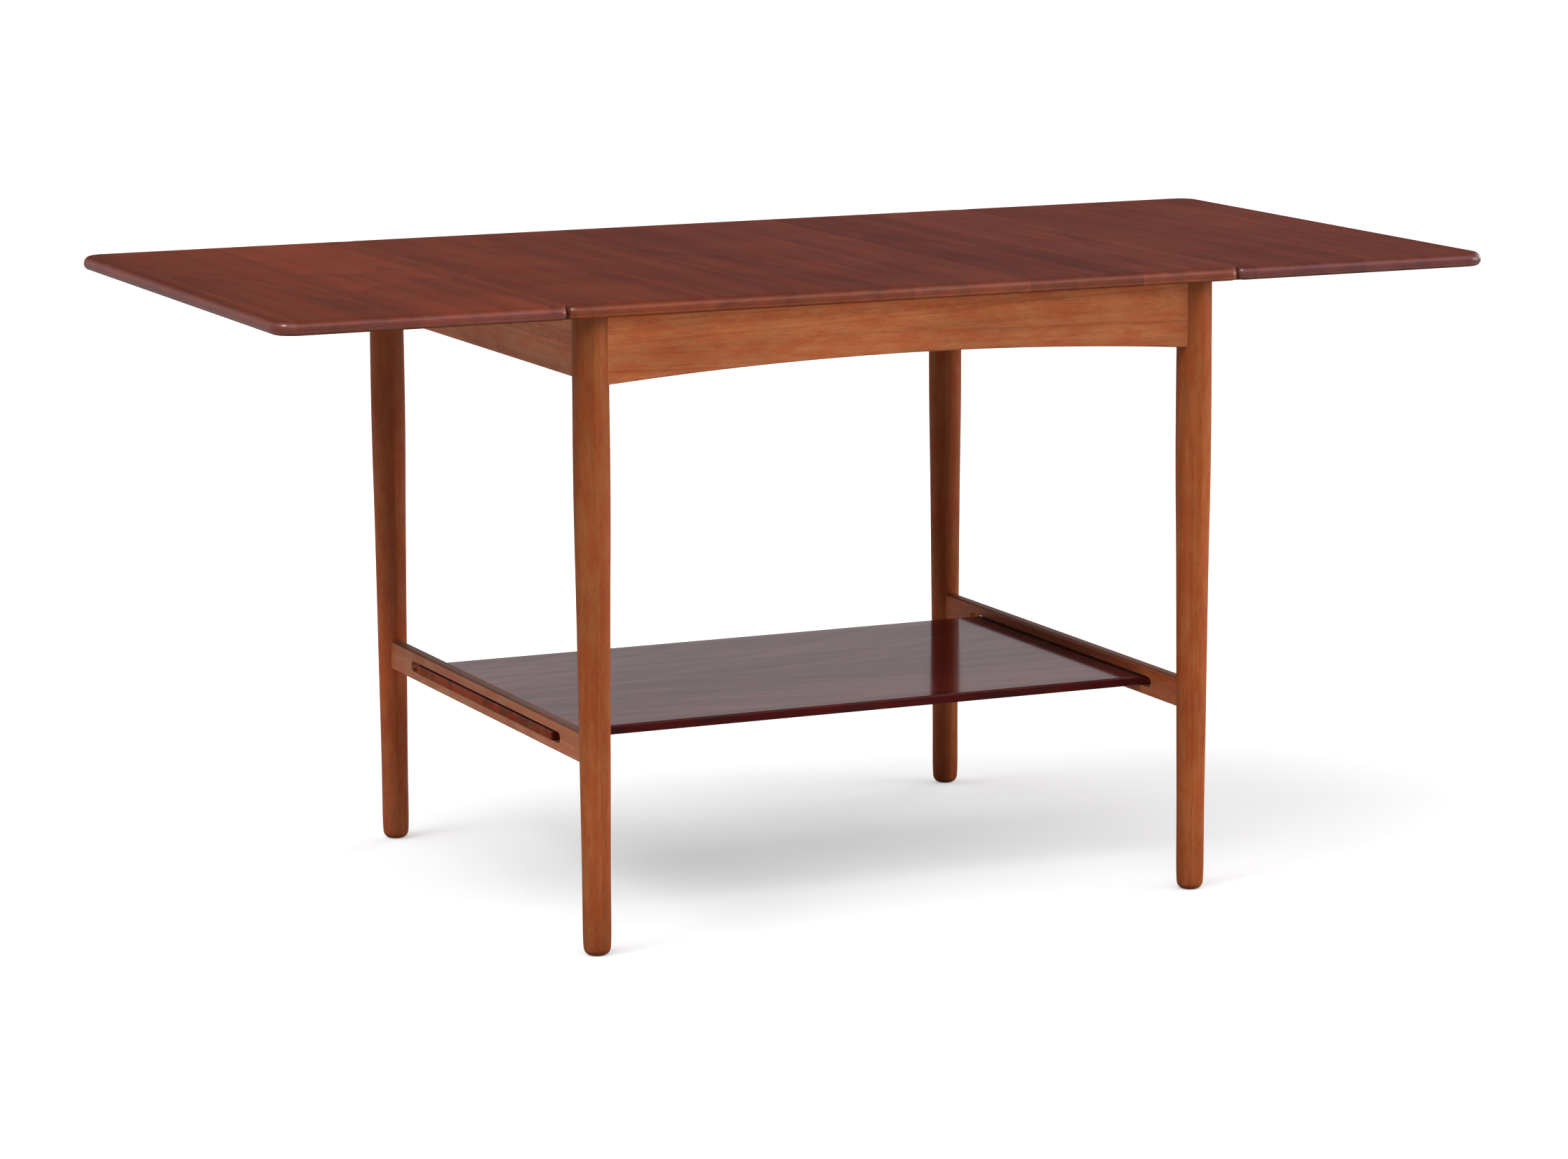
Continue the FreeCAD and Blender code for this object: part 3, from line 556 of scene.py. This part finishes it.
def dress_table():
    dress("top_centre", wood("teak_top_centre", OILED_TEAK, "top_centre", Y, X, seed=3))
    dress("leaf_left", wood("teak_leaf_left", LEAF_TEAK, "leaf_left", Y, X, seed=8))
    dress("leaf_right", wood("teak_leaf_right", LEAF_TEAK, "leaf_right", Y, X, seed=12))
    dress("shelf", wood("teak_shelf", VARNISHED_TEAK, "shelf", X, Y, seed=5))
    dress("batten_middle", wood("oak_batten_middle", INNER_OAK, "batten_middle", Y, X, seed=6))
    for seed, depth in enumerate(DEPTHS):
        node = f"apron_{depth}"
        dress(node, wood(f"oak_{node}", LONG_APRON_OAK, node, X, Z, seed + 2, LONG_APRON_TINT))
    for seed, side in enumerate(SIDES):
        for part, look, tint in (
                ("apron", AGED_OAK, END_APRON_PAINTED_LIGHT), ("stretcher", SLOTTED_OAK, STRETCHER_LIGHT_AND_SHADE[side]),
                ("rail", INNER_OAK, PLAIN_TINT)):
            node = f"{part}_{side}"
            dress(node, wood(f"oak_{node}", look, node, Y, Z, seed * 3 + 1, tint))
    for seed, corner in enumerate(CORNERS):
        slide, stop = f"loper_{corner}", f"loper_stop_{corner}"
        dress(slide, wood(f"oak_{slide}", INNER_OAK, slide, X, Z, seed))
        dress(stop, wood(f"oak_stop_{corner}", AGED_OAK, stop, Z, X, seed))
        for part in ("hinge_fixed", "hinge_leaf", "hinge_pin"):
            dress(f"{part}_{corner}", DULL_BRASS)


# Made pieces

def set_inputs(modifier, values):
    """Set a geometry tree's inputs by the identifiers of their sockets."""
    for item in modifier.node_group.interface.items_tree:
        if item.item_type == "SOCKET" and item.in_out == "INPUT" and item.name in values:
            modifier[item.identifier] = values[item.name]


def made_by(tree, name, mesh, values):
    """An object whose plain mesh is what a geometry tree makes of a starting mesh."""
    made = bpy.data.objects.new(name, mesh)
    bpy.context.scene.collection.objects.link(made)
    modifier = made.modifiers.new(tree.name, "NODES")
    modifier.node_group = tree
    set_inputs(modifier, values)
    depsgraph = bpy.context.evaluated_depsgraph_get()
    result = bpy.data.meshes.new_from_object(made.evaluated_get(depsgraph))
    made.modifiers.clear()
    made.data = result
    result.name = name
    return made


def finish_pieces(tree, given, result, piece):
    """Set a piece on each starting point, make the copies real and give them their finish."""
    placed = add_node(tree, "GeometryNodeInstanceOnPoints", {"Points": given["Geometry"], **piece})
    real = add_node(tree, "GeometryNodeRealizeInstances", {"Geometry": placed.outputs[0]})
    finished = add_node(tree, "GeometryNodeSetMaterial", {
        "Geometry": real.outputs[0], "Material": given["Finish"]})
    tree.links.new(finished.outputs[0], result["Geometry"])


def turned_leg_tree():
    """A leg turned round an upright line: its radius follows the height, close steps at the foot."""
    tree, given, result = new_group("turned_leg", "GeometryNodeTree", [
        ("Geometry", GEOMETRY, None), ("Height", FLOAT, LEG_HEIGHT), ("Thickest Radius", FLOAT, LEG_RADIUS),
        ("Rings", INTEGER, LEG_RINGS), ("Sides", INTEGER, LEG_SIDES), ("Finish", MATERIAL, None)],
        [("Geometry", GEOMETRY)])
    line = add_node(tree, "GeometryNodeCurvePrimitiveLine").outputs[0]
    line = add_node(tree, "GeometryNodeResampleCurve", {"Curve": line, "Count": given["Rings"]}).outputs[0]
    count = calculate(tree, "SUBTRACT", given["Rings"], 1.0)
    step = calculate(tree, "DIVIDE", add_node(tree, "GeometryNodeSplineParameter").outputs["Index"], count)
    height = calculate(tree, "MULTIPLY", calculate(tree, "POWER", step, 2.0), given["Height"])
    spot = add_node(tree, "ShaderNodeCombineXYZ", {"Z": height}).outputs[0]
    line = add_node(tree, "GeometryNodeSetPosition", {"Geometry": line, "Position": spot}).outputs[0]
    shape = add_node(tree, "ShaderNodeFloatCurve", {"Value": step})
    fill_leg_shape(shape.mapping)
    radius = calculate(tree, "MULTIPLY", shape.outputs[0], given["Thickest Radius"])
    ring = add_node(tree, "GeometryNodeCurvePrimitiveCircle", {"Resolution": given["Sides"], "Radius": 1.0})
    leg = add_node(tree, "GeometryNodeCurveToMesh", {
        "Curve": line, "Profile Curve": ring.outputs["Curve"], "Scale": radius, "Fill Caps": True}).outputs[0]
    finish_pieces(tree, given, result, {"Instance": leg})
    return tree


def fill_leg_shape(mapping):
    """Points of the leg's radius against the square root of its height, both as shares of one."""
    foot_height, foot_radius = LEG_SHAPE[0]
    shape = []
    for step in range(FOOT_ARC_STEPS):
        angle = math.pi / 2 * step / FOOT_ARC_STEPS
        rise = foot_height * (1 - math.cos(angle))
        shape.append((rise, FOOT_FLAT + (foot_radius - FOOT_FLAT) * math.sin(angle)))
    points = [(math.sqrt(z / LEG_HEIGHT), radius / LEG_RADIUS) for z, radius in shape + list(LEG_SHAPE)]
    curve = mapping.curves[0]
    curve.points[0].location = points[0]
    curve.points[1].location = points[-1]
    for point in points[1:-1]:
        curve.points.new(*point)
    mapping.update()


def make_legs():
    tree = turned_leg_tree()
    for seed, corner in enumerate(CORNERS):
        node = f"leg_{corner}"
        low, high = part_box(node)
        foot = ((low.x + high.x) / 2, (low.y + high.y) / 2, 0.0)
        start = bpy.data.meshes.new(node)
        start.from_pydata([foot], [], [])
        finish = wood(f"oak_{node}", TURNED_OAK, node, Z, X, seed * 2 + 1, LEG_LIGHT_AND_SHADE[corner])
        leg = made_by(tree, f"turned_{node}", start, {
            "Height": high.z, "Thickest Radius": (high.x - low.x) / 2, "Rings": LEG_RINGS, "Sides": LEG_SIDES,
            "Finish": finish})
        leg.data.shade_smooth()
        leg.data.set_sharp_from_angle(angle=SHARP_EDGE_ANGLE)
        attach(leg, "frame")
        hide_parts(node)


def slotted_screw_tree():
    """Slotted countersunk screws, heads down, each turned as its driver left it."""
    tree, given, result = new_group("slotted_screws", "GeometryNodeTree", [
        ("Geometry", GEOMETRY, None), ("Head Radius", FLOAT, HINGE_SCREW.head_radius),
        ("Shank Radius", FLOAT, HINGE_SCREW.shank_radius), ("Head Height", FLOAT, HINGE_SCREW.head_height),
        ("Length", FLOAT, HINGE_SCREW.length), ("Slot Width", FLOAT, SLOT_WIDTH),
        ("Slot Depth", FLOAT, SLOT_DEPTH), ("Turn Seed", INTEGER, 1), ("Finish", MATERIAL, None)],
        [("Geometry", GEOMETRY)])
    head = add_node(tree, "GeometryNodeMeshCone", {
        "Vertices": HEAD_SIDES, "Radius Top": given["Shank Radius"], "Radius Bottom": given["Head Radius"],
        "Depth": given["Head Height"]}).outputs["Mesh"]
    reach = calculate(tree, "MULTIPLY", given["Head Radius"], SLOT_LENGTH_PER_HEAD_RADIUS)
    double_depth = calculate(tree, "MULTIPLY", given["Slot Depth"], 2.0)
    slot_size = add_node(tree, "ShaderNodeCombineXYZ", {
        "X": reach, "Y": given["Slot Width"], "Z": double_depth})
    slot = add_node(tree, "GeometryNodeMeshCube", {"Size": slot_size.outputs[0]}).outputs["Mesh"]
    cut = tree.nodes.new("GeometryNodeMeshBoolean")
    cut.operation = "DIFFERENCE"
    tree.links.new(head, cut.inputs[0])
    tree.links.new(slot, cut.inputs[1])
    shank_length = calculate(tree, "SUBTRACT", given["Length"], given["Head Height"])
    tip = calculate(tree, "MULTIPLY", given["Shank Radius"], TIP_PER_SHANK_RADIUS)
    shank = add_node(tree, "GeometryNodeMeshCone", {
        "Vertices": SHANK_SIDES, "Radius Top": tip, "Radius Bottom": given["Shank Radius"],
        "Depth": shank_length}).outputs["Mesh"]
    lift = add_node(tree, "ShaderNodeCombineXYZ", {"Z": given["Head Height"]}).outputs[0]
    shank = add_node(tree, "GeometryNodeTransform", {"Geometry": shank, "Translation": lift}).outputs[0]
    whole = tree.nodes.new("GeometryNodeJoinGeometry")
    tree.links.new(cut.outputs[0], whole.inputs[0])
    tree.links.new(shank, whole.inputs[0])
    turn = add_node(tree, "FunctionNodeRandomValue", {"Min": 0.0, "Max": math.pi, "Seed": given["Turn Seed"]},
                    data_type="FLOAT")
    rotation = add_node(tree, "ShaderNodeCombineXYZ", {"Z": enabled_socket(turn.outputs, "Value")}).outputs[0]
    finish_pieces(tree, given, result, {"Instance": whole.outputs[0], "Rotation": rotation})
    return tree


def hinge_screw_spots(side, out_side):
    """Heads of the screws in one plate of both hinges at a joint."""
    spots = []
    for depth in DEPTHS:
        low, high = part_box(f"hinge_pin_{side}_{depth}")
        x = (low.x + high.x) / 2 + out_side * HINGE_SCREW_OUT
        y = (low.y + high.y) / 2
        z = (low.z + high.z) / 2
        spots += [(x, y + step * HINGE_SCREW_PITCH, z) for step in (-1, 0, 1)]
    return spots


def middle(node):
    low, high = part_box(node)
    return (low + high) / 2


def frame_screw_spots():
    """Heads of the screws that go up through the aprons and cross rails into the top."""
    spots = []
    for side in SIDES:
        for part in ("rail", "apron"):
            spots += [(middle(f"{part}_{side}").x, y, FRAME_SCREW_HEAD) for y in RAIL_SCREW_Y]
    for depth in DEPTHS:
        spots += [(x, middle(f"apron_{depth}").y, FRAME_SCREW_HEAD) for x in LONG_APRON_SCREW_X]
    return spots


def shelf_screw_spots():
    """Heads of the screws under the stretchers' lower bars."""
    spots = []
    for side in SIDES:
        node = f"stretcher_{side}"
        spots += [(middle(node).x, y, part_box(node)[0].z) for y in SHELF_SCREW_Y]
    return spots


def make_screws():
    tree = slotted_screw_tree()
    batten_spots = [(0.0, y, BATTEN_SCREW_HEAD) for y in BATTEN_SCREW_Y]
    centre_spots = hinge_screw_spots("left", 1) + hinge_screw_spots("right", -1)
    left_spots = hinge_screw_spots("left", -1)
    right_spots = hinge_screw_spots("right", 1)
    groups = (
        ("hinge_screws_centre", "frame", centre_spots, HINGE_SCREW, "brass", DULL_BRASS),
        ("hinge_screws_leaf_left", "left_leaf", left_spots, HINGE_SCREW, "brass", DULL_BRASS),
        ("hinge_screws_leaf_right", "right_leaf", right_spots, HINGE_SCREW, "brass", DULL_BRASS),
        ("top_screws", "frame", frame_screw_spots(), FRAME_SCREW, "steel", PLAIN_STEEL),
        ("batten_screws", "frame", batten_spots, FRAME_SCREW, "steel", PLAIN_STEEL),
        ("shelf_screws", "frame", shelf_screw_spots(), SHELF_SCREW, "steel", PLAIN_STEEL))
    for seed, (node, body, spots, size, slot, finish) in enumerate(groups):
        start = bpy.data.meshes.new(node)
        start.from_pydata(spots, [], [])
        screws = made_by(tree, f"slotted_{node}", start, {
            "Head Radius": size.head_radius, "Shank Radius": size.shank_radius,
            "Head Height": size.head_height, "Length": size.length, "Slot Width": SLOT_WIDTH,
            "Slot Depth": SLOT_DEPTH, "Turn Seed": seed + 1, "Finish": finish})
        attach(screws, body)
        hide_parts(node)


# Camera, light and floor

def add_camera():
    data = bpy.data.cameras.new("photo_camera")
    data.sensor_fit = "HORIZONTAL"
    data.sensor_width = SENSOR
    data.lens = LENS
    data.clip_end = VIEW_REACH
    camera = bpy.data.objects.new("photo_camera", data)
    bpy.context.scene.collection.objects.link(camera)
    turn = (CAMERA_AIM - CAMERA_AT).to_track_quat("-Z", "Y").to_matrix().to_4x4()
    camera.matrix_world = Matrix.Translation(CAMERA_AT) @ turn @ Matrix.Rotation(CAMERA_ROLL, 4, "Z")
    bpy.context.scene.camera = camera


def add_floor():
    rim = []
    for step in range(FLOOR_SIDES):
        angle = 2 * math.pi * step / FLOOR_SIDES
        rim.append((FLOOR_RADIUS * math.cos(angle), FLOOR_RADIUS * math.sin(angle), 0.0))
    mesh = bpy.data.meshes.new("studio_floor")
    mesh.from_pydata(rim, [], [tuple(range(FLOOR_SIDES))])
    floor = bpy.data.objects.new("studio_floor", mesh)
    bpy.context.scene.collection.objects.link(floor)
    material, tree, shader = new_material("pale_floor")
    seen = add_node(tree, "ShaderNodeLightPath").outputs["Is Camera Ray"]
    tree.links.new(mix_colour(tree, seen, FLOOR_BOUNCE, FLOOR_SEEN), shader.inputs["Base Color"])
    tree.links.new(mix_colour(tree, seen, BLACK, FLOOR_GLOW), shader.inputs["Emission Color"])
    shader.inputs["Emission Strength"].default_value = 1.0
    shader.inputs["Roughness"].default_value = FLOOR_ROUGHNESS
    shader.inputs["Specular IOR Level"].default_value = 0.0
    mesh.materials.append(material)


def add_soft_sun(light):
    """A wide soft source that lights the table from one side."""
    data = bpy.data.lights.new(light.name, "SUN")
    data.energy = light.strength
    data.angle = math.radians(light.spread)
    sun = bpy.data.objects.new(light.name, data)
    sun.rotation_mode = "QUATERNION"
    sun.rotation_quaternion = Vector(light.towards).normalized().to_track_quat("Z", "Y")
    sun.visible_diffuse = not light.only_mirrored
    bpy.context.scene.collection.objects.link(sun)


def add_light():
    world = bpy.data.worlds.new("studio")
    world.use_nodes = True
    tree = world.node_tree
    ray = add_node(tree, "ShaderNodeLightPath").outputs
    sky = mix_colour(tree, ray["Is Glossy Ray"], SKY_LIGHT, SKY_MIRRORED)
    sky = mix_colour(tree, ray["Is Camera Ray"], sky, SKY_SEEN)
    tree.links.new(sky, tree.nodes["Background"].inputs["Color"])
    bpy.context.scene.world = world
    for light in LIGHTS:
        add_soft_sun(light)
    bpy.context.scene.view_settings.view_transform = "Standard"


dress_table()
make_legs()
make_screws()
add_floor()
add_light()
add_camera()
